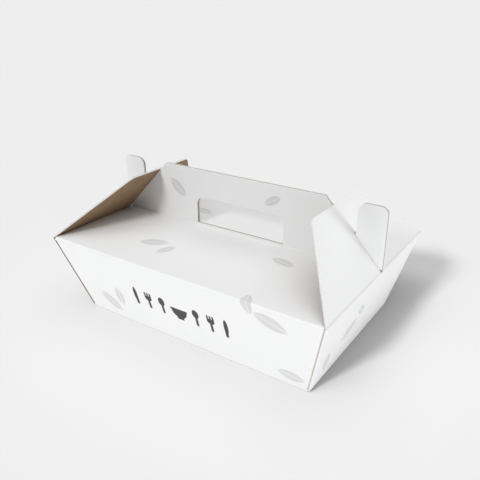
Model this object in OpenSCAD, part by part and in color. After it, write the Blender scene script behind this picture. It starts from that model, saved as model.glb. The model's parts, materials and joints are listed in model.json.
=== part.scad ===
// Takeaway box with a carrying handle, folded from one sheet of card.
// The lid is in two halves that run up into two handle panels, and the slit of
// each end flap is threaded over the ears of both panels to lock the box.
// The origin is the middle of the base, the front is towards -Y, and Z is up.

/* [Tray] */
// Length over the folds at the top of the end walls
top_l = 270; // [240:1:320]
// Width over the folds at the top of the front and back walls
top_w = 198; // [165:1:240]
// Length of the base
base_l = 230; // [190:1:266]
// Width of the base
base_w = 155; // [120:1:190]
// Height of the closed lid above the table
box_h = 74.5; // [50:0.5:110]

/* [Card] */
// Thickness of the card
card_t = 1.5; // [1:0.1:2.5]
// Radius on the inner side of a fold
fold_r = 0.5; // [0.2:0.1:1.2]

/* [Glue tabs] */
// Reach of a glue tab from the corner of the tray
tab_w = 22; // [12:1:40]
// Slope of a glue tab's upper and lower edges, as a rise over its reach
tab_taper = 12; // [4:1:18]
// Space between a glue tab and the base, and between it and the lid
tab_inset = 1.5; // [0.5:0.5:5]

/* [Handle] */
// Height of the handle above the lid
handle_h = 53.5; // [46:0.5:75]
// Radius of the handle's upper corners
handle_corner_r = 2; // [0.5:0.5:6]
// Gap between the two handle panels
panel_gap = 0.4; // [0.2:0.1:1]
// Width of the hand hole
hole_w = 92; // [70:1:120]
// Height of the hand hole's upper edge above the lid
hole_h = 27.3; // [20:0.1:34]
// Height of the hand hole's lower edge above the lid, so that the folds run on under the hole
hole_foot = 1.5; // [0.5:0.5:3]
// Radius of the hand hole's upper corners
hole_corner_r = 7.3; // [3:0.1:10]

/* [Handle ears] */
// Radius of the ear's upper corner beside the notch
ear_inner_r = 7.3; // [2:0.1:9]
// Radius of the ear's upper corner at the end of the box
ear_outer_r = 6; // [2:0.1:9]
// Gap between the end flap and the ear at the bottom of the notch
notch_gap = 0.5; // [0.3:0.1:3]
// Height of the ear's lower edge above the fold of the end flap
ear_foot = 2; // [0.5:0.5:5]

/* [End flaps] */
// Lean of a closed end flap from upright
flap_lean = 43; // [34:1:50]
// Length of an end flap from its fold to its tip
flap_len = 65; // [56:1:72]
// Width of an end flap at its tip
flap_tip_w = 78; // [50:1:120]
// Radius of the end flap's corners at its tip
flap_corner_r = 8; // [1:0.5:12]
// Length of the slit from the fold
slit_len = 38.2; // [30:0.1:44]

/* [Clearances] */
// Gap along the fold between an end flap and its wall
crease_gap = 0.3; // [0.1:0.1:0.6]
// Gap between an end flap and the lid and handle panels that it leans on
flap_clear = 0.3; // [0.2:0.1:1]
// Gap on each side between the slit and the handle panels
slit_clear = 0.3; // [0.1:0.1:1]

/* [Hidden] */

LEFT = -1;
RIGHT = 1;
past = 1; // how far a cutting shape runs past the card
bite = 0.3; // how deep the sheet runs into the end walls that are one with it
base_lap = 10; // how far an end wall runs on as the base, beyond its fold
edge_back = 0.2; // how far an end wall's cut edges lie behind the front and back walls
fold_steps = 4;
corner_steps = 10;

half_l = top_l / 2;
half_w = top_w / 2;
handle_top = box_h + handle_h;
end_lean = atan((top_l - base_l) / 2 / box_h);
front_lean = atan((top_w - base_w) / 2 / box_h);
panels_half_t = panel_gap / 2 + card_t; // from the middle to a handle panel's outer face
slit_w = 2 * (panels_half_t + slit_clear);

// The fold between an end wall and its flap is mitred along the bisector of the closed angle.
mitre = card_t / tan((180 - end_lean - flap_lean) / 2);
// The lid and the handle panels end on one slanted line, just inside the closed end flap.
lid_half_l = half_l - (card_t + flap_clear) / cos(flap_lean);
handle_half_l = lid_half_l - handle_h * tan(flap_lean);

// Unit vector, its left-hand normal, and a vector turned by an angle
function unit(v) = v / norm(v);
function left(v) = [-v[1], v[0]];
function spin(v, a) = [v[0] * cos(a) - v[1] * sin(a), v[0] * sin(a) + v[1] * cos(a)];

// How far the line from a over p to b turns at p, positive to the left
function turn(a, p, b) = atan2(cross(unit(p - a), unit(b - p)), unit(p - a) * unit(b - p));

// The vertex p of a line from a to b, moved with the line to its left by off
function moved(a, p, b, off) =
    p + off * (left(unit(p - a)) + left(unit(b - p))) / (1 + unit(p - a) * unit(b - p));

// Points of a round corner at p, on the line from a to b
function corner(a, p, b, r, steps) =
    let (side = sign(turn(a, p, b)), centre = moved(a, p, b, side * r),
         spoke = -side * r * left(unit(p - a)))
    [for (i = [0:steps]) centre + spin(spoke, turn(a, p, b) * i / steps)];

// One face of a folded card. The path lies on the outer face with the card to its left,
// and off says how deep in the card the face is. A fold keeps fold_r on its hollow side.
function bend(a, p, b, off) =
    corner(moved_start(a, p, off), moved(a, p, b, off), moved_end(p, b, off),
           turn(a, p, b) > 0 ? fold_r + card_t - off : fold_r + off, fold_steps);
function moved_start(a, p, off) = a + off * left(unit(p - a));
function moved_end(p, b, off) = b + off * left(unit(b - p));
function face(path, off, shorter = 0) =
    let (last = len(path) - 1, last_way = unit(path[last] - path[last - 1]))
    concat([moved_start(path[0], path[1], off)],
           [for (i = [1:last - 1]) each bend(path[i - 1], path[i], path[i + 1], off)],
           [moved_end(path[last - 1], path[last], off) - shorter * last_way]);
function backwards(list) = [for (i = [len(list) - 1:-1:0]) list[i]];

// Section of the card along a path, with its far end mitred by `mitred` on the inner side
function card_section(path, mitred = 0) =
    concat(face(path, 0), backwards(face(path, card_t, mitred)));

// Outer face of the tray across the box, in Y and Z, and of its right-hand end, in X and Z
tray_across = [[-half_w, box_h], [-base_w / 2, 0], [base_w / 2, 0], [half_w, box_h]];
end_way = [sin(end_lean), cos(end_lean)];
wall_top = [half_l, box_h] - crease_gap / 2 * end_way;
end_wall_along = [[base_l / 2 - base_lap, 0], [base_l / 2, 0], wall_top];

// The same across the box with both halves of the lid and both handle panels
sheet_across = concat([[-panels_half_t, handle_top], [-panels_half_t, box_h]], tray_across,
                      [[panels_half_t, box_h], [panels_half_t, handle_top]]);

// Half length and half width of the tray at height z, at `depth` in from its outer faces
function tray_half_l(z, depth) = base_l / 2 + z * tan(end_lean) - depth / cos(end_lean);
function tray_half_w(z, depth) = base_w / 2 + z * tan(front_lean) - depth / cos(front_lean);

// Point of a closed right-hand end flap: v up from its fold, w in from its outer face
function flap_point(v, w) =
    [half_l - v * sin(flap_lean) - w * cos(flap_lean), box_h + v * cos(flap_lean) - w * sin(flap_lean)];

// Stands a drawing up, its x along X and its y along Z, with `thick` from y_from towards the back
module upright(y_from, thick)
    translate([0, y_from + thick, 0]) rotate([90, 0, 0]) linear_extrude(thick) children();

// The same with the drawing's x along Y, and its thickness along X about the middle
module crosswise(thick)
    rotate([90, 0, 90]) linear_extrude(thick, center = true) children();

// What runs across: base, front and back walls, lid halves and handle panels
module sheet_outline() {
    under_lid = box_h - card_t;
    right_side = concat(
        [[tray_half_l(0, card_t - bite), 0], [tray_half_l(under_lid, card_t - bite), under_lid],
         [lid_half_l, under_lid], [lid_half_l, box_h]],
        corner([lid_half_l, box_h], [handle_half_l, handle_top], [0, handle_top],
               handle_corner_r, corner_steps));
    polygon(concat(right_side, backwards([for (p = right_side) [-p[0], p[1]]])));
}

module folded_sheet()
    intersection() {
        crosswise(2 * half_l) polygon(card_section(sheet_across));
        upright(-half_w - past, top_w + 2 * past) sheet_outline();
    }

// Right-hand end wall with its fold at the base, its cut edges almost flush with the front and back
module end_wall()
    intersection() {
        upright(-half_w, top_w) polygon(card_section(end_wall_along, mitre));
        crosswise(top_l)
            polygon([[-tray_half_w(box_h, edge_back), box_h], [-tray_half_w(0, edge_back), 0],
                     [tray_half_w(0, edge_back), 0], [tray_half_w(box_h, edge_back), box_h]]);
    }

// Tab at the right-hand end of the front wall, glued flat to the inside of the end wall
module glue_tab() {
    low = card_t + tab_inset;
    high = box_h - card_t - tab_inset;
    root = card_t / 2;
    intersection() {
        upright(-half_w, half_w)
            polygon([for (p = [[card_t - bite, 0], [2 * card_t, 0],
                               [2 * card_t, box_h], [card_t - bite, box_h]])
                     [tray_half_l(p[1], p[0]), p[1]]]);
        crosswise(top_l)
            polygon([[-tray_half_w(low, root), low],
                     [tab_w - tray_half_w(low + tab_taper, 0), low + tab_taper],
                     [tab_w - tray_half_w(high - tab_taper, 0), high - tab_taper],
                     [-tray_half_w(high, root), high]]);
    }
}

// Hand hole through both panels, with square corners just above their folds
module hand_hole() {
    depth = 2 * (panels_half_t + past);
    low = box_h + hole_foot;
    top = box_h + hole_h;
    upright(-depth / 2, depth)
        union() {
            translate([-hole_w / 2, low])
                square([hole_w, top - hole_corner_r - low]);
            translate([hole_corner_r - hole_w / 2, low])
                square([hole_w - 2 * hole_corner_r, top - low]);
            for (s = [LEFT, RIGHT])
                translate([s * (hole_w / 2 - hole_corner_r), top - hole_corner_r])
                    circle(hole_corner_r, $fn = 48);
        }
}

module box_blank()
    color("whitesmoke")
    difference() {
        union() {
            folded_sheet();
            for (s = [LEFT, RIGHT])
                mirror([s == LEFT ? 1 : 0, 0, 0]) {
                    end_wall();
                    glue_tab();
                    mirror([0, 1, 0]) glue_tab();
                }
        }
        hand_hole();
    }

// Ear of one handle panel: its head is outside the end flap, and its neck fills the slit up to
// the slit's round end, which stays open
module ear_outline() {
    neck_v = slit_len - slit_w / 2;
    neck_inner = flap_point(neck_v, card_t + flap_clear);
    neck_outer = flap_point(neck_v, -flap_clear);
    ear_x = neck_outer[0] + notch_gap;
    foot_z = box_h + ear_foot;
    polygon(concat(
        [[lid_half_l - ear_foot * tan(flap_lean), foot_z], [half_l, foot_z]],
        corner([half_l, box_h], [half_l, handle_top], [ear_x, handle_top], ear_outer_r, corner_steps),
        corner([half_l, handle_top], [ear_x, handle_top], [ear_x, box_h], ear_inner_r, corner_steps),
        [[ear_x, neck_outer[1]], neck_outer, neck_inner]));
}

module handle_ears(side)
    color("white")
    mirror([side == LEFT ? 1 : 0, 0, 0])
        for (y_from = [-panels_half_t, panel_gap / 2])
            upright(y_from, card_t) ear_outline();

module handle_ears_left() handle_ears(LEFT);
module handle_ears_right() handle_ears(RIGHT);

// End flap laid out flat: x runs up from the fold, y across the box
module flap_outline() {
    tip = flap_tip_w / 2;
    side_edge = concat([[0, half_w]],
        corner([0, half_w], [flap_len, tip], [flap_len, 0], flap_corner_r, corner_steps));
    difference() {
        polygon(concat(side_edge, backwards([for (p = side_edge) [p[0], -p[1]]])));
        translate([-past, -slit_w / 2]) square([slit_len + past - slit_w / 2, slit_w]);
        translate([slit_len - slit_w / 2, 0]) circle(d = slit_w, $fn = 32);
    }
}

// Closed end flap on the right, its outer face from the fold's outer edge, its foot mitred
module closed_flap()
    translate([half_l, 0, box_h])
        rotate([0, -90 - flap_lean, 0])
            intersection() {
                linear_extrude(card_t) flap_outline();
                upright(-half_w, top_w)
                    polygon([[crease_gap / 2, 0], [flap_len, 0], [flap_len, card_t],
                             [crease_gap / 2 + mitre, card_t]]);
            }

module end_flap_right() color("gainsboro") closed_flap();
module end_flap_left() color("gainsboro") mirror([1, 0, 0]) closed_flap();

box_blank();
handle_ears_left();
handle_ears_right();
end_flap_left();
end_flap_right();
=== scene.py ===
# Takeaway box folded from one blank of fine-flute card: white outside, brown kraft inside.
# The card is cut flat, from the same sizes as the frame's solids, and then folded along its creases,
# so the print, the flutes and the cut edges run on from panel to panel as they do on the real blank.
import cmath
import json
from math import ceil, copysign, cos, pi, radians, sin, sqrt, tan

import bmesh
import bpy
from mathutils import Matrix, Vector


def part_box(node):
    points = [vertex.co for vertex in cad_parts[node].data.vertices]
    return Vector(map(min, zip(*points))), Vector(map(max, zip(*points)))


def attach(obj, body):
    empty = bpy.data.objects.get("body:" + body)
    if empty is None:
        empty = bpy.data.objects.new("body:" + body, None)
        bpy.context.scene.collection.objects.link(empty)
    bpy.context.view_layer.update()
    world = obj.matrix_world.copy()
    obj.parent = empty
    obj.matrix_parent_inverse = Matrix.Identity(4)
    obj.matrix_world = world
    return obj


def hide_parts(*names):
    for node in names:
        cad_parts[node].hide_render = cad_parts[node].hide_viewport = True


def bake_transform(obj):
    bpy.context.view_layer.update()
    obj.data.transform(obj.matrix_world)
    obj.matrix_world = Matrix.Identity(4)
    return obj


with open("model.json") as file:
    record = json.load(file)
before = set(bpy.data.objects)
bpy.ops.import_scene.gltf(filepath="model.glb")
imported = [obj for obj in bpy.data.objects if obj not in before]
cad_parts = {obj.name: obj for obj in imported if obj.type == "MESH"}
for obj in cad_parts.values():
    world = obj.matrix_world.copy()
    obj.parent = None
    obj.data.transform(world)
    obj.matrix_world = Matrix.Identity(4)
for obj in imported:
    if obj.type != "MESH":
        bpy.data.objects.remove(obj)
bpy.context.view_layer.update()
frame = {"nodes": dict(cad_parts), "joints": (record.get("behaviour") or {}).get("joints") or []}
print("frame loaded:", ", ".join(sorted(frame["nodes"])))

mm = 0.001
joints = {joint["name"]: joint for joint in frame["joints"]}
creaseX, _, lidZ = joints["right_flap_fold"]["pos_m"]
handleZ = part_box("box_blank")[1].z

card = {
    "thick": 1.5 * mm,
    "insideRadius": 0.5 * mm,  # hollow side of a crease
    "tabInsideRadius": 0.1 * mm,  # the glue tabs are pressed flat, so their creases are tighter
    "bendStep": radians(12),
    "fewestBendSteps": 3,
    "cornerSteps": 8,
    "smoothUpTo": radians(30),
    "weldGap": 0.01 * mm,
    "flutePitch": 3.2,  # in mm, as the print and the grain are
    # a cut edge in mm, as depth into the card and way back: two liners with the flutes between
    "cutProfile": [
        (0, 0.06), (0.06, 0), (0.3, 0), (0.36, 0.1),
        (1.14, 0.1), (1.2, 0), (1.44, 0), (1.5, 0.06),
    ],
    "sharpestShare": 0.5,  # holds in how far the cut edge lies back at sharp corners
}
tray = {
    "baseHalfL": 115 * mm,
    "baseHalfW": 77.5 * mm,
    "topHalfW": 99 * mm,
    "endWallBack": 0.2 * mm,  # its cut edges lie this far behind the front and back walls
}
flap = {
    "lean": radians(43),
    "length": 65 * mm,
    "tipHalfW": 39 * mm,
    "cornerRadius": 8 * mm,
    "slitLength": 38.2 * mm,
    "slitHalfW": 2 * mm,
    "slitSteps": 10,
    "clear": 0.3 * mm,
    "bendSpan": 0.2 * mm,  # start and end lie this far on either side of the fold
}

thick = card["thick"]
topHalfW = tray["topHalfW"]
endSlope = (creaseX - tray["baseHalfL"]) / lidZ
frontSlope = (topHalfW - tray["baseHalfW"]) / lidZ
endCos = 1 / sqrt(1 + endSlope**2)
frontCos = 1 / sqrt(1 + frontSlope**2)
lidHalfL = creaseX - (thick + flap["clear"]) / cos(flap["lean"])
handleHalfL = lidHalfL - (handleZ - lidZ) * tan(flap["lean"])


# Flat geometry is in complex numbers: multiplying a direction by 1j turns it to its left.
def turnAt(a, p, b):
    return cmath.phase((b - p) / (p - a))


def roundCorner(a, p, b, radius, steps=card["cornerSteps"]):
    turn = turnAt(a, p, b)
    way = (p - a) / abs(p - a)
    start = p - way * radius * tan(abs(turn) / 2)
    centre = start + way * 1j * copysign(radius, turn)
    return [centre + (start - centre) * cmath.exp(1j * turn * i / steps) for i in range(steps + 1)]


def bendReach(turn, insideRadius):
    # how far a bend reaches from its corner, along the outer face
    outer = insideRadius + (thick if turn > 0 else 0)
    return outer * tan(abs(turn) / 2)


def foldPath(corners, insideRadius, startsInBend=False):
    # rows of (distance along the outer face, point on it, way into the card), and each bend's range
    rows, bends = [], []
    way = (corners[1] - corners[0]) / abs(corners[1] - corners[0])
    if not startsInBend:
        rows.append((0, corners[0], way * 1j))
    point, distance = corners[0], 0
    for a, p, b in zip(corners, corners[1:], corners[2:]):
        turn = turnAt(a, p, b)
        outer = insideRadius + (thick if turn > 0 else 0)
        steps = max(card["fewestBendSteps"], ceil(abs(turn) / card["bendStep"]))
        arc = roundCorner(a, p, b, outer, steps)
        normal = (p - a) / abs(p - a) * 1j
        distance += abs(arc[0] - point)
        bends.append((distance, distance + outer * abs(turn)))
        for i, q in enumerate(arc):
            turned = turn * i / steps
            rows.append((distance + outer * abs(turned), q, normal * cmath.exp(1j * turned)))
        distance += outer * abs(turn)
        point = arc[-1]
    way = (corners[-1] - corners[-2]) / abs(corners[-1] - corners[-2])
    rows.append((distance + abs(corners[-1] - point), corners[-1], way * 1j))
    return rows, bends


def onPath(rows, distance):
    distance = min(max(distance, rows[0][0]), rows[-1][0])
    for (d0, p0, n0), (d1, p1, n1) in zip(rows, rows[1:]):
        if distance <= d1:
            f = (distance - d0) / (d1 - d0)
            return p0 + (p1 - p0) * f, n0 + (n1 - n0) * f
    return rows[-1][1:]


cutTolerance = 1e-7
edgeTolerance = 1e-6


def onSegment(z, segment):
    a, b = segment
    f = ((z - a) / (b - a)).real
    return -edgeTolerance < f < 1 + edgeTolerance and abs(z - a - (b - a) * f) < edgeTolerance


class CardMesh:
    # A mesh of card: strips are cut flat, made as thick as the card, folded along a path and joined.
    def __init__(self, name):
        self.name = name
        self.bm = bmesh.new()
        self.blankUv = self.bm.loops.layers.uv.new("blank")  # metres on the flat blank
        self.cutUv = self.bm.loops.layers.uv.new("cut")  # share of the card's thickness
        self.normals = self.bm.loops.layers.float_vector.new("cornerNormal")

    def flatFaces(self, loops, rows):
        flat = bmesh.new()
        for loop in loops:
            verts = [flat.verts.new((z.real, z.imag, 0)) for z in loop]
            for a, b in zip(verts, verts[1:] + verts[:1]):
                flat.edges.new((a, b))
        bmesh.ops.triangle_fill(flat, use_beauty=True, edges=flat.edges[:], normal=(0, 0, 1))
        for distance, _, _ in rows:
            everything = flat.verts[:] + flat.edges[:] + flat.faces[:]
            line = {"plane_co": (0, distance, 0), "plane_no": (0, 1, 0)}
            bmesh.ops.bisect_plane(flat, geom=everything, dist=cutTolerance, **line)
        flat.normal_update()
        for face in flat.faces:
            if face.normal.z < 0:
                face.normal_flip()
        flat.verts.index_update()
        return flat

    def addStrip(self, loops, rows, axes, blankAt, joined=(), origin=Vector()):
        # loops on the flat card, the path it is folded along, and the segments that get no cut edge
        along, across, up = axes
        flip = along.dot(across.cross(up)) > 0
        flat = self.flatFaces(loops, rows)
        points = [complex(v.co.x, v.co.y) for v in flat.verts]
        cuts, outward = [], {}
        for edge in flat.edges:
            if len(edge.link_faces) != 1:
                continue
            loop = edge.link_faces[0].loops[0]
            while loop.edge != edge:
                loop = loop.link_loop_next
            a, b = loop.vert.index, loop.link_loop_next.vert.index
            if any(onSegment(points[a], s) and onSegment(points[b], s) for s in joined):
                continue
            cuts.append((a, b))
            normal = -1j * (points[b] - points[a]) / abs(points[b] - points[a])
            for i in (a, b):
                outward.setdefault(i, []).append(normal)

        def lieBack(i):
            if i not in outward:
                return 0
            middle = (outward[i][0] + outward[i][-1]) / 2
            return middle / max(card["sharpestShare"], abs(middle)) ** 2

        def place(i, depth, back):
            z = points[i] - lieBack(i) * back
            point, normal = onPath(rows, z.imag)
            at = point + normal * depth
            return origin + along * z.real + across * at.real + up * at.imag

        profile = [(depth * mm, back * mm) for depth, back in card["cutProfile"]]
        rings = [{} for _ in profile]
        for i in range(len(points)):
            for k in range(len(profile)) if i in outward else (0, len(profile) - 1):
                rings[k][i] = self.bm.verts.new(place(i, *profile[k]))

        def addFace(corners, material, side):
            # corners as (ring, flat vertex); side is -1 on the outer face, 1 on the inner one
            if flip:
                corners = corners[::-1]
            face = self.bm.faces.new([rings[k][i] for k, i in corners])
            face.material_index = material
            face.smooth = True
            for loop, (k, i) in zip(face.loops, corners):
                normal = onPath(rows, points[i].imag)[1] * side
                loop[self.normals] = across * normal.real + up * normal.imag
                loop[self.blankUv].uv = blankAt(points[i].real, points[i].imag)
                loop[self.cutUv].uv = (0, profile[k][0] / thick)

        last = len(profile) - 1
        for face in flat.faces:
            order = [v.index for v in face.verts]
            addFace([(0, i) for i in order], 0, -1)
            addFace([(last, i) for i in order[::-1]], 1, 1)
        for a, b in cuts:
            for k in range(last):
                material = 0 if k == 0 else 1 if k == last - 1 else 2
                addFace([(k, b), (k, a), (k + 1, a), (k + 1, b)], material, 0)
        flat.free()

    def finish(self, materials):
        bmesh.ops.remove_doubles(self.bm, verts=self.bm.verts[:], dist=card["weldGap"])
        mesh = bpy.data.meshes.new(self.name)
        self.bm.to_mesh(mesh)
        self.bm.free()
        for material in materials:
            mesh.materials.append(material)
        mesh.set_sharp_from_angle(angle=card["smoothUpTo"])
        normals = mesh.attributes["cornerNormal"]
        mesh.normals_split_custom_set([tuple(corner.vector) for corner in normals.data])
        mesh.attributes.remove(mesh.attributes["cornerNormal"])
        piece = bpy.data.objects.new(self.name, mesh)
        bpy.context.scene.collection.objects.link(piece)
        return piece


def mirrored(points):
    return [complex(-z.real, z.imag) for z in points]


def wholeOutline(rightSide):
    # closes an outline that is the same left and right, from its right-hand side
    return rightSide + mirrored(rightSide)[::-1]


xAxis, yAxis, zAxis = Vector((1, 0, 0)), Vector((0, 1, 0)), Vector((0, 0, 1))


class Shading:
    # the nodes of a material or of the world
    def __init__(self, owner):
        self.owner = owner
        owner.use_nodes = True
        self.tree = owner.node_tree
        self.tree.nodes.clear()

    def add(self, kind, settings=None, inputs=None, output=0):
        node = self.tree.nodes.new("ShaderNode" + kind)
        for name, value in (settings or {}).items():
            setattr(node, name, value)
        for name, value in (inputs or {}).items():
            if isinstance(value, Wire):
                self.tree.links.new(value.socket, node.inputs[name])
            else:
                node.inputs[name].default_value = value
        return Wire(self, node.outputs[output]) if node.outputs else None

    def mix(self, factor, a, b):
        return self.add("Mix", {"data_type": "RGBA"}, {0: factor, 6: a, 7: b}, 2)

    def blank(self):
        # place on the flat blank, in mm
        return self.add("UVMap", {"uv_map": "blank"}, {}, "UV").scaled(1 / mm)

    def noise(self, place, scale, detail, stretch=None):
        if stretch:
            place = place.vector("MULTIPLY", stretch)
        return self.add("TexNoise", {}, {"Vector": place, "Scale": scale, "Detail": detail})

    def bump(self, strength, distance, height):
        inputs = {"Strength": strength, "Distance": distance, "Height": height}
        return self.add("Bump", {}, inputs, "Normal")

    def surface(self, inputs):
        shader = self.add("BsdfPrincipled", {}, inputs)
        self.add("OutputMaterial", {}, {"Surface": shader})


def isSingle(value):
    # a number, or a socket that carries one
    return isinstance(value, (int, float)) or getattr(value, "kind", "") == "VALUE"


class Wire:
    # an output socket that sums can be written with
    def __init__(self, shading, socket):
        self.shading = shading
        self.socket = socket
        self.kind = socket.type

    def math(self, operation, *others):
        return self.shading.add("Math", {"operation": operation}, dict(enumerate((self, *others))))

    def vector(self, operation, *others, inputs=None, output="Vector"):
        values = {**dict(enumerate((self, *others))), **(inputs or {})}
        return self.shading.add("VectorMath", {"operation": operation}, values, output)

    def scaled(self, share):
        return self.vector("SCALE", inputs={"Scale": share})

    def split(self, axis):
        return self.shading.add("SeparateXYZ", {}, {"Vector": self}, axis)

    def ramp(self, low, high):
        # smooth step from 0 at low to 1 at high
        inputs = {"Value": self, "From Min": low, "From Max": high}
        return self.shading.add("MapRange", {"interpolation_type": "SMOOTHSTEP"}, inputs)

    def both(self, operation, a, b):
        node = "Math" if isSingle(a) and isSingle(b) else "VectorMath"
        return self.shading.add(node, {"operation": operation}, {0: a, 1: b})

    def __add__(self, other):
        return self.both("ADD", self, other)

    def __radd__(self, other):
        return self.both("ADD", other, self)

    def __sub__(self, other):
        return self.both("SUBTRACT", self, other)

    def __rsub__(self, other):
        return self.both("SUBTRACT", other, self)

    def __mul__(self, other):
        return self.both("MULTIPLY", self, other)

    def __rmul__(self, other):
        return self.both("MULTIPLY", other, self)


def grey(level):
    return (level, level, level, 1)


class Print:
    # shapes on the blank, each as the distance from its outline, negative inside and in mm at size 1
    def __init__(self, shading, place):
        self.shading = shading
        self.place = place

    def moved(self, x, y, turn=0, size=1):
        inputs = {
            "Vector": self.place,
            "Location": (x, y, 0),
            "Rotation": (0, 0, radians(turn)),
            "Scale": (size, size, size),
        }
        return Print(self.shading, self.shading.add("Mapping", {"vector_type": "TEXTURE"}, inputs))

    def bar(self, halfW, low, high, radius):
        middle = self.moved(0, (low + high) / 2).place
        corner = middle.vector("ABSOLUTE") - (halfW - radius, (high - low) / 2 - radius, 0)
        return corner.vector("MAXIMUM", (0, 0, 0)).vector("LENGTH", output="Value") - radius

    def oval(self, halfW, halfH, y):
        share = self.moved(0, y).place.vector("DIVIDE", (halfW, halfH, 1))
        return (share.vector("LENGTH", output="Value") - 1) * min(halfW, halfH)

    def leaf(self, slim, vein):
        # two arcs that meet in points, split by a thin vein
        radius = (1 + slim**2) / (2 * slim)
        side = self.place.vector("ABSOLUTE")
        split = vein - side.split("X")
        outline = (side + (radius - slim, 0, 0)).vector("LENGTH", output="Value") - radius
        return outline.math("MAXIMUM", split)

    def mirrored(self, x):
        # the same on both sides, x away from the middle
        side = self.place.vector("ABSOLUTE").vector("MULTIPLY", (1, 0, 0))
        return Print(self.shading, side + self.place.vector("MULTIPLY", (0, 1, 0))).moved(x, 0)


def union(distances):
    whole = distances[0]
    for distance in distances[1:]:
        whole = whole.math("MINIMUM", distance)
    return whole


artwork = {
    "leafGrey": 0.78,
    "leafSlim": 0.42,
    "leafVein": 0.03,
    "leafBlur": 0.004,  # of its half length
    "inkGrey": 0.035,
    "inkBlur": 0.06,
    "boldness": 0.3,
    "rowStep": (12.5, 23, 33),
    "rowSize": 1.42,
    "rowUp": 38,  # up the front wall from the fold at the base
    # (x, up from the fold at the base, turn, half length)
    "leaves": [
        (-84, 18, 50, 14), (-70, 29, 5, 11), (90, 64, 70, 15), (71, 76, 15, 11), (101, 12, 85, 12),
        (-52, 118, -65, 14), (-33, 112, -20, 10), (62, 146, 75, 12), (-68, 205, 50, 12), (35, 212, -60, 9),
        (150, -46, 20, 14), (163, -60, -35, 10), (137, -14, -70, 12),
    ],
}
# Ovals as (half width, half height, middle's height), bars as (half width, low, high, corner radius)
tableSigns = {
    "bowl": (5.2, 5.4, 0.6),
    "bowlCut": 0.4,  # the bowl is the part of its oval under this height
    "rim": (6, 0.9, 1.9, 0.5),
    "foot": (2.2, -6, -4.6, 0.4),
    "spoon": (2, 2.9, 3.2),
    "stem": (0.6, -6, 2, 0.6),
    "fork": (2.2, 1.8, 1.9),
    "tine": (0.35, 1.8, 6.1, 0.35),
    "tineStep": 1.9,
    "blade": (1.15, 4.6, 1.7),
    "bladeShift": 0.25,
    "grip": (0.75, -6, 0.5, 0.6),
}


def cutlery(middle):
    # a row of plain table signs: a bowl between spoons, forks and knives
    spoon, fork, knife = (middle.mirrored(x) for x in artwork["rowStep"])
    underCut = middle.place.split("Y") - tableSigns["bowlCut"]
    whole = union([
        middle.oval(*tableSigns["bowl"]).math("MAXIMUM", underCut),
        middle.bar(*tableSigns["rim"]),
        middle.bar(*tableSigns["foot"]),
        spoon.oval(*tableSigns["spoon"]),
        spoon.bar(*tableSigns["stem"]),
        fork.oval(*tableSigns["fork"]),
        fork.bar(*tableSigns["tine"]),
        fork.mirrored(tableSigns["tineStep"]).bar(*tableSigns["tine"]),
        fork.bar(*tableSigns["stem"]),
        knife.moved(tableSigns["bladeShift"], 0).oval(*tableSigns["blade"]),
        knife.bar(*tableSigns["grip"]),
    ])
    return whole - artwork["boldness"]


def flutes(blank):
    # a wave from -1 to 1 across the flutes
    return (blank.split("X") * (2 * pi / card["flutePitch"])).math("SINE")


# A noise is (scale, detail, stretch), a bump (strength, distance), and a ramp (where it is 0, where 1)
whiteLiner = {
    "papers": [(0.885, 0.888, 0.89, 1), (0.91, 0.913, 0.915, 1)],
    "fibreNoise": (1.6, 5, (0.7, 2.6, 1)),
    "fibreRamp": (0.3, 0.7),
    # painted shade along the end creases and a painted highlight along the folds between lid and walls
    "creaseShift": 0.4,  # the crease's shade is this far out on the flap
    "creaseRamp": (1.6, 0.2),
    "paintedCreaseShade": 0.12,
    "foldRamp": (1.4, 0.3),
    "paintedFoldHighlight": 0.1,
    "fibreHeight": 0.3,
    "fluteHeight": 0.5,
    "bump": (0.12, 0.02 * mm),
    "roughness": 0.5,
}


def whiteLinerMaterial():
    shading = Shading(bpy.data.materials.new("white liner"))
    blank = shading.blank()
    u, v = blank.split("X"), blank.split("Y")
    # the back and the left end carry the same print as the front and the right end, turned round
    behind = v.math("SIGN")
    turned = shading.add("CombineXYZ", {}, {"X": u * behind * -1, "Y": v.math("ABSOLUTE"), "Z": 0})
    design = Print(shading, turned)
    leaves = []
    for x, up, turn, size in artwork["leaves"]:
        leaf = design.moved(x, baseFoldV + up, turn, size)
        leaves.append(leaf.leaf(artwork["leafSlim"], artwork["leafVein"]))
    signs = cutlery(design.moved(0, baseFoldV + artwork["rowUp"], size=artwork["rowSize"]))
    leafInk = union(leaves).ramp(artwork["leafBlur"], -artwork["leafBlur"])
    signInk = signs.ramp(artwork["inkBlur"], -artwork["inkBlur"])
    fibres = shading.noise(blank, *whiteLiner["fibreNoise"])
    # painted shade along the end creases and a painted highlight along the lid's folds, mixed into the
    # paper
    fromCrease = (u.math("ABSOLUTE") - (creaseU + whiteLiner["creaseShift"])).math("ABSOLUTE")
    fromFold = (v.math("ABSOLUTE") - topFoldV).math("ABSOLUTE")
    shade = fromCrease.ramp(*whiteLiner["creaseRamp"]) * whiteLiner["paintedCreaseShade"]
    shine = fromFold.ramp(*whiteLiner["foldRamp"]) * whiteLiner["paintedFoldHighlight"]
    clean = shading.mix(fibres.ramp(*whiteLiner["fibreRamp"]), *whiteLiner["papers"])
    paperWithPaintedLight = clean.scaled(1 - shade + shine)
    leafy = shading.mix(leafInk * (1 - artwork["leafGrey"]), paperWithPaintedLight, grey(0))
    printed = shading.mix(signInk, leafy, grey(artwork["inkGrey"]))
    height = fibres * whiteLiner["fibreHeight"] + flutes(blank) * whiteLiner["fluteHeight"]
    bump = shading.bump(*whiteLiner["bump"], height)
    shading.surface({"Base Color": printed, "Roughness": whiteLiner["roughness"], "Normal": bump})
    return shading.owner


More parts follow.
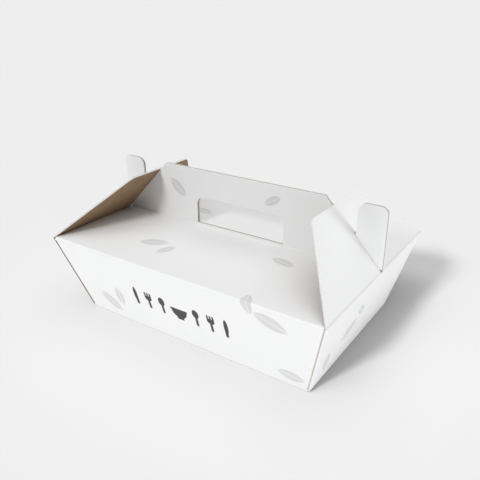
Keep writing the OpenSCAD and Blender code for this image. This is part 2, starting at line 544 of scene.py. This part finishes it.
kraftLiner = {
    "papers": [(0.285, 0.183, 0.1, 1), (0.325, 0.212, 0.122, 1)],
    "pulpNoise": (0.09, 3),
    "pulpRamp": (0.35, 0.65),
    "fibreColour": (0.42, 0.3, 0.19, 1),
    "fibreNoise": (1.3, 6, (0.35, 1.9, 1)),
    "fibreRamp": (0.35, 0.75),
    "fibreShare": 0.4,
    "fleckColour": (0.13, 0.08, 0.045, 1),
    "fleckNoise": (0.8, 2, (0.8, 2.4, 1)),
    "fleckRamp": (0.7, 0.76),
    "fleckShare": 0.5,
    "fluteShade": 0.05,
    "fibreHeight": 0.5,
    "fluteHeight": 0.5,
    "bump": (0.3, 0.03 * mm),
    "roughness": 0.85,
}


def kraftLinerMaterial():
    shading = Shading(bpy.data.materials.new("kraft liner"))
    blank = shading.blank()
    pulp = shading.noise(blank, *kraftLiner["pulpNoise"])
    fibres = shading.noise(blank, *kraftLiner["fibreNoise"])
    flecks = shading.noise(blank, *kraftLiner["fleckNoise"])
    brown = shading.mix(pulp.ramp(*kraftLiner["pulpRamp"]), *kraftLiner["papers"])
    fibreShare = fibres.ramp(*kraftLiner["fibreRamp"]) * kraftLiner["fibreShare"]
    brown = shading.mix(fibreShare, brown, kraftLiner["fibreColour"])
    fleckShare = flecks.ramp(*kraftLiner["fleckRamp"]) * kraftLiner["fleckShare"]
    brown = shading.mix(fleckShare, brown, kraftLiner["fleckColour"])
    wave = flutes(blank)
    shaded = brown.scaled(1 - (wave + 1) * (kraftLiner["fluteShade"] / 2))
    height = fibres * kraftLiner["fibreHeight"] + wave * kraftLiner["fluteHeight"]
    bump = shading.bump(*kraftLiner["bump"], height)
    shading.surface({"Base Color": shaded, "Roughness": kraftLiner["roughness"], "Normal": bump})
    return shading.owner


cutEdge = {
    "waveMiddle": 0.5,
    "waveHeight": 0.2,
    "waveRamp": (0.13, 0.07),
    "paintedHollowShade": 0.15,
    "zoneBlur": 1,
    # colours read off on the left end wall, the right end wall, the end flaps and the handle: one cut edge
    # with painted light and shade, darkest at the left end wall, greyer at the handle, lightest on the
    # flaps
    "paper": [(0.22, 0.18, 0.11, 1), (0.85, 0.82, 0.72, 1), (0.95, 0.95, 0.94, 1), (0.72, 0.71, 0.68, 1)],
    "outer": [(0.26, 0.21, 0.13, 1), (0.92, 0.92, 0.91, 1), (0.92, 0.92, 0.91, 1), (0.92, 0.92, 0.91, 1)],
    "inner": [(0.2, 0.16, 0.09, 1), (0.6, 0.55, 0.44, 1), (0.93, 0.92, 0.9, 1), (0.52, 0.5, 0.46, 1)],
    # waves and ramps are in shares of the card's thickness
    "outerRamp": (0.5, 0.42),
    "innerRamp": (0.8, 0.84),
    "roughness": 0.85,
}


def cutEdgeMaterial():
    # the two liners as thin lines, and the flutes between them as a wave, with painted shade in the
    # hollows and painted light and shade by zone
    shading = Shading(bpy.data.materials.new("cut edge"))
    blank = shading.blank()
    depth = shading.add("UVMap", {"uv_map": "cut"}, {}, "UV").split("Y")
    blur = cutEdge["zoneBlur"]
    onHandle = blank.split("Y").math("ABSOLUTE").ramp(handleV - blur, handleV + blur)
    onFlaps = blank.split("X").math("ABSOLUTE").ramp(creaseU - blur, creaseU + blur)
    onRight = blank.split("X").ramp(-blur, blur)

    def paintedLightByZone(leftWall, rightWall, flaps, panels):
        walls = shading.mix(onRight, leftWall, rightWall)
        return shading.mix(onHandle, shading.mix(onFlaps, walls, flaps), panels)

    wave = flutes(blank) * cutEdge["waveHeight"] + cutEdge["waveMiddle"]
    fromWave = (depth - wave).math("ABSOLUTE")
    # painted shade: darker in the hollows between the flutes, away from the wave
    shade = 1 - cutEdge["paintedHollowShade"] + fromWave.ramp(*cutEdge["waveRamp"]) * cutEdge["paintedHollowShade"]
    hollow = paintedLightByZone(*cutEdge["paper"]).scaled(shade)
    lined = shading.mix(depth.ramp(*cutEdge["outerRamp"]), hollow, paintedLightByZone(*cutEdge["outer"]))
    edge = shading.mix(depth.ramp(*cutEdge["innerRamp"]), lined, paintedLightByZone(*cutEdge["inner"]))
    shading.surface({"Base Color": edge, "Roughness": cutEdge["roughness"]})
    return shading.owner


def onFlap(v, w):
    # point of a closed right-hand end flap: v up from its fold, w in from its outer face
    return complex(creaseX, lidZ) + (v + w * 1j) * 1j * cmath.exp(1j * flap["lean"])


handle = {
    "panelsHalfT": 1.7 * mm,  # from the middle to the outer face of a handle panel
    "cornerRadius": 2 * mm,
    "holeHalfW": 46 * mm,
    "holeH": 27.3 * mm,
    "holeFoot": 1.5 * mm,
    "holeRadius": 7.3 * mm,
    "earInnerRadius": 7.3 * mm,
    "earOuterRadius": 6 * mm,
    "notchGap": 0.5 * mm,
    "earFoot": 2 * mm,
}

# The sheet across the box: handle, lid and wall at the front, base, and the same at the back
halfT = handle["panelsHalfT"]
acrossRows, acrossBends = foldPath(
    [
        complex(-halfT, handleZ),
        complex(-halfT, lidZ),
        complex(-topHalfW, lidZ),
        complex(-tray["baseHalfW"], 0),
        complex(tray["baseHalfW"], 0),
        complex(topHalfW, lidZ),
        complex(halfT, lidZ),
        complex(halfT, handleZ),
    ],
    card["insideRadius"],
)
acrossLength = acrossRows[-1][0]
(panelEnd, lidStart), (lidEnd, wallStart), (wallEnd, baseStart) = acrossBends[:3]


def wallHeight(distance):
    return onPath(acrossRows, distance)[0].imag


def wallDistance(z):
    return wallEnd + (wallHeight(wallEnd) - z) / frontCos


def cornerLine(z):
    # where the front wall's outer face meets the inside of the end wall, on the flat sheet
    return complex(tray["baseHalfL"] + z * endSlope - thick / endCos, wallDistance(z))


cornerWay = cornerLine(lidZ) - cornerLine(0)
cornerWay /= abs(cornerWay)

tab = {
    "reach": 22 * mm,
    "taper": 12 * mm,
    "inset": 3 * mm,
}

# The fold between the front wall and a glue tab, as a frame of its own on the right-hand side
wallDown = Vector((0, frontSlope * frontCos, -frontCos))
wallSide = xAxis * cornerWay.real + wallDown * cornerWay.imag
wallOut = xAxis * (1j * cornerWay).real + wallDown * (1j * cornerWay).imag
wallIn = Vector((0, frontCos, frontSlope * frontCos))
endWallIn = Vector((-endCos, 0, endSlope * endCos))
tabWay = endWallIn.cross(wallSide)
tabWay *= copysign(1, tabWay.y)
tabTurn = cmath.phase(complex(tabWay.dot(wallOut), tabWay.dot(wallIn)))
tabReach = bendReach(tabTurn, card["tabInsideRadius"])
tabEdge = tab["reach"] * cmath.exp(1j * tabTurn)
tabRows, _ = foldPath([complex(-tabReach, 0), 0j, tabEdge], card["tabInsideRadius"], True)
tabRange = [tab["inset"], lidZ - tab["inset"]]


def wallEdge(z):
    return cornerLine(z) - 1j * cornerWay * tabReach


# The end: bend at the base, end wall, crease and flap
endTurn = cmath.phase(complex(endSlope, 1))
endReach = bendReach(endTurn, card["insideRadius"])
baseEdge = tray["baseHalfL"] - endReach
flapTip = onFlap(flap["length"], 0)
endRows, endBends = foldPath(
    [complex(baseEdge, 0), complex(tray["baseHalfL"], 0), complex(creaseX, lidZ), flapTip],
    card["insideRadius"],
    True,
)
(_, endWallStart), (creaseStart, creaseEnd) = endBends
creaseTurn = turnAt(complex(tray["baseHalfL"], 0), complex(creaseX, lidZ), flapTip)
creaseReach = bendReach(creaseTurn, card["insideRadius"])
baseJoin = abs(onPath(acrossRows, baseStart)[0].real)


def endHalfW(distance):
    z = onPath(endRows, distance)[0].imag
    return tray["baseHalfW"] + z * frontSlope - tray["endWallBack"] / frontCos


def flapHalfW(v):
    return topHalfW - (topHalfW - flap["tipHalfW"]) * v / flap["length"]


def panelOutline():
    # right-hand half of the front handle panel with its ear, from the top down to the lid
    neckV = flap["slitLength"] - flap["slitHalfW"]
    neckInner = onFlap(neckV, thick + flap["clear"])
    neckOuter = onFlap(neckV, -flap["clear"])
    earX = neckOuter.real + handle["notchGap"]
    earFoot = handle["earFoot"]
    top = complex(earX, handleZ)
    outerTop = complex(creaseX, handleZ)
    corner = [complex(0, handleZ), complex(handleHalfL, handleZ), complex(lidHalfL, lidZ)]
    points = roundCorner(*corner, handle["cornerRadius"])
    points += [neckInner, neckOuter, complex(earX, neckOuter.imag)]
    points += roundCorner(complex(earX, lidZ), top, outerTop, handle["earInnerRadius"])
    points += roundCorner(top, outerTop, complex(creaseX, lidZ), handle["earOuterRadius"])
    points.append(complex(creaseX, lidZ + earFoot))
    points.append(complex(lidHalfL - earFoot * tan(flap["lean"]), lidZ + earFoot))
    points.append(complex(lidHalfL, wallHeight(panelEnd)))
    return [complex(z.real, handleZ - z.imag) for z in points]


def atBack(points):
    # the same points on the back half of the sheet
    return [complex(z.real, acrossLength - z.imag) for z in points]


def acrossOutline():
    tabLow, tabHigh = tabRange
    front = panelOutline()
    front += [complex(lidHalfL, lidStart), complex(lidHalfL, lidEnd), cornerLine(wallHeight(wallStart))]
    front += [cornerLine(tabHigh), wallEdge(tabHigh), wallEdge(tabLow), cornerLine(tabLow)]
    front += [cornerLine(wallHeight(wallEnd)), complex(baseEdge, baseStart)]
    return front + atBack(front)[::-1]


def handHole():
    halfW, panelH = handle["holeHalfW"], handleZ - lidZ
    top, low = panelH - handle["holeH"], panelH - handle["holeFoot"]
    corner = roundCorner(complex(0, top), complex(halfW, top), complex(halfW, low), handle["holeRadius"])
    return wholeOutline(corner + [complex(halfW, low)])


def foldedBlank():
    blank = CardMesh("folded_blank")
    loops = [wholeOutline(acrossOutline()), handHole(), atBack(handHole())]
    frontTab = [wallEdge(z) for z in tabRange]
    baseSide = [complex(baseEdge, baseStart), complex(baseEdge, acrossLength - baseStart)]
    edges = [frontTab, baseSide, atBack(frontTab)]
    edges += [mirrored(edge) for edge in edges]
    axes = (xAxis, yAxis, zAxis)
    blank.addStrip(loops, acrossRows, axes, lambda t, s: (t, s - acrossLength / 2), edges)
    wall = [complex(baseJoin, 0), complex(endHalfW(endWallStart), endWallStart),
            complex(endHalfW(creaseStart), creaseStart), complex(flap["slitHalfW"], creaseStart)]
    wallJoins = [[-baseJoin + 0j, baseJoin + 0j], wall[2:], mirrored(wall[2:])]
    tabLine = [abs(cornerLine(z) - cornerLine(0)) for z in tabRange]
    tabEnd = tabRows[-1][0]
    tabLoop = [complex(tabLine[0], 0), complex(tabLine[1], 0), complex(tabLine[1] - tab["taper"], tabEnd),
               complex(tabLine[0] + tab["taper"], tabEnd)]
    tabOrigin = Vector((tray["baseHalfL"] - thick / endCos, -tray["baseHalfW"], 0))
    for side in (-1, 1):
        blank.addStrip([wholeOutline(wall)], endRows, (yAxis, xAxis * side, zAxis),
                       lambda t, s: (side * (baseEdge + s), t), wallJoins)
        for depth in (-1, 1):
            mirror = Matrix.Diagonal((side, -depth, 1))

            def tabOnBlank(t, s):
                z = cornerLine(0) + cornerWay * t + 1j * cornerWay * (s - tabReach)
                return side * z.real, depth * (acrossLength / 2 - z.imag)

            blank.addStrip([tabLoop], tabRows, [mirror @ axis for axis in (wallSide, wallOut, wallIn)],
                           tabOnBlank, [(tabLoop[0], tabLoop[1])], mirror @ tabOrigin)
    return blank.finish(cardMaterials)


def endPiece(name, side, loops, joins):
    piece = CardMesh(name)
    for loop in loops:
        piece.addStrip([loop], endRows, (yAxis, xAxis * side, zAxis),
                       lambda t, s: (side * (baseEdge + s), t), joins)
    return piece.finish(cardMaterials)


def endFlap(side, name):
    start = complex(flapHalfW(creaseReach), creaseEnd)
    fold = creaseEnd - creaseReach
    tip = fold + flap["length"]
    rightSide = [complex(flap["slitHalfW"], creaseEnd), start]
    rightSide += roundCorner(start, complex(flap["tipHalfW"], tip), complex(0, tip), flap["cornerRadius"])
    slitEnd = complex(0, fold + flap["slitLength"] - flap["slitHalfW"])
    steps = flap["slitSteps"]
    slit = [slitEnd + flap["slitHalfW"] * cmath.exp(1j * pi * (1 - i / steps)) for i in range(steps + 1)]
    joins = [rightSide[:2], mirrored(rightSide[:2])]
    return endPiece(name, side, [wholeOutline(rightSide) + slit], joins)


def crease(side, name):
    half = [complex(flap["slitHalfW"], creaseStart), complex(endHalfW(creaseStart), creaseStart),
            complex(flapHalfW(creaseReach), creaseEnd), complex(flap["slitHalfW"], creaseEnd)]
    joins = [half[:2], half[2:]]
    joins += [mirrored(join) for join in joins]
    return endPiece(name, side, [half, mirrored(half)], joins)


# Places on the blank that the print, the painted crease shade, the painted fold highlight and the cut
# edge's painted zones start from, in mm
baseFoldV = (acrossLength / 2 - (wallEnd + baseStart) / 2) / mm
topFoldV = (acrossLength / 2 - (lidEnd + wallStart) / 2) / mm
handleV = (acrossLength / 2 - panelEnd) / mm
creaseU = (baseEdge + (creaseStart + creaseEnd) / 2) / mm
cardMaterials = [whiteLinerMaterial(), kraftLinerMaterial(), cutEdgeMaterial()]
print("materials made")

blankPiece = foldedBlank()
cardPieces = [blankPiece]
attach(blankPiece, "box")
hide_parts("box_blank", "handle_ears_left", "handle_ears_right")
for side, word in ((-1, "left"), (1, "right")):
    flapPiece = endFlap(side, f"flap_{word}")
    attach(flapPiece, f"{word}_flap")
    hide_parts(f"end_flap_{word}")
    creasePiece = crease(side, f"crease_{word}")
    low, high = onPath(endRows, creaseStart)[0], onPath(endRows, creaseEnd)[0]
    way = (high - low) / abs(high - low)
    fold = complex(creaseX, lidZ)
    start, end = fold - way * flap["bendSpan"], fold + way * flap["bendSpan"]
    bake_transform(creasePiece)
    cardPieces += [flapPiece, creasePiece]
print("card folded")


# Camera, floor and light
view = {
    "place": (0.2588, -0.3847, 0.2746),
    "way": (-0.50909, 0.75870, -0.40646),
    "lens": 41.761,
    "sensor": 36,
    "clipEnd": 200,
}
camera = bpy.data.objects.new("camera", bpy.data.cameras.new("camera"))
camera.data.lens = view["lens"]
camera.data.sensor_width = view["sensor"]
camera.data.sensor_fit = "HORIZONTAL"
camera.data.clip_end = view["clipEnd"]
camera.location = view["place"]
camera.rotation_euler = Vector(view["way"]).to_track_quat("-Z", "Y").to_euler()
bpy.context.scene.collection.objects.link(camera)
bpy.context.scene.camera = camera

studio = {
    "floorHalf": 80,
    "floorColour": 0.4,
    "floorBelow": 0.05 * mm,
    "skyStrength": 0.03,  # what the world lights with
    "skyShown": 0.87,  # what the camera and gloss see of it
}
# Soft lamps as (height over the horizon, turn to the right of the front, width, strength, what it lights)
lamps = {
    "key": (32, -8.5, 14, 1.1, "card"),
    "overhead": (90, 0, 100, 1.5, "card"),
    "overhead from behind": (60, 150, 60, 0.6, "card"),
    "bounce from the front": (-38, 0, 20, 0.62, "card"),
    "bounce from the right": (-11, 103, 26, 1.12, "card"),
    "floor key": (32, -5, 8, 4.4, "floor"),
    "floor high key": (54, -7, 16, 0.7, "floor"),
    "floor overhead": (90, 0, 90, 2.6, "floor"),
    "floor front": (50, 0, 50, 1.45, "floor"),
}


def floorMaterial():
    # without a sheen, so the floor is as bright far off as it is near by
    shading = Shading(bpy.data.materials.new("floor"))
    colour = grey(studio["floorColour"])
    shading.surface({"Base Color": colour, "Roughness": 1, "Specular IOR Level": 0})
    return shading.owner


floorMesh = bpy.data.meshes.new("floor")
half = studio["floorHalf"]
corners = [(-half, -half, 0), (half, -half, 0), (half, half, 0), (-half, half, 0)]
floorMesh.from_pydata(corners, [], [(0, 1, 2, 3)])
floorMesh.materials.append(floorMaterial())
floor = bpy.data.objects.new("floor", floorMesh)
floor.location.z = -studio["floorBelow"]
bpy.context.scene.collection.objects.link(floor)

# The floor's lamps bring it to the backdrop's tone. The bounces shine on the card from below the floor,
# as light thrown up by a white table would, so only the card stands in their way
litBy = {"floor": bpy.data.collections.new("lit floor"), "card": bpy.data.collections.new("lit card")}
litBy["floor"].objects.link(floor)
for piece in cardPieces:
    litBy["card"].objects.link(piece)
for name, (height, turn, width, strength, lights) in lamps.items():
    lamp = bpy.data.objects.new(name, bpy.data.lights.new(name, "SUN"))
    lamp.data.energy = strength
    lamp.data.angle = radians(width)
    level = cos(radians(height))
    toLamp = Vector((sin(radians(turn)) * level, -cos(radians(turn)) * level, sin(radians(height))))
    lamp.rotation_euler = toLamp.to_track_quat("Z", "Y").to_euler()
    bpy.context.scene.collection.objects.link(lamp)
    lamp.light_linking.receiver_collection = litBy[lights]
    if height < 0:
        lamp.light_linking.blocker_collection = litBy["card"]

# The camera sees the world as a pale backdrop past the floor, but it lights the scene only faintly
sky = Shading(bpy.data.worlds.new("studio"))
shown = sky.add("LightPath", output="Is Camera Ray")
for ray in ("Is Glossy Ray", "Is Transmission Ray"):
    shown = shown.math("MAXIMUM", sky.add("LightPath", output=ray))
strength = shown * (studio["skyShown"] - studio["skyStrength"]) + studio["skyStrength"]
background = sky.add("Background", {}, {"Color": grey(1), "Strength": strength})
sky.add("OutputWorld", {}, {"Surface": background})
bpy.context.scene.world = sky.owner
bpy.context.scene.view_settings.view_transform = "Standard"
print("studio made")
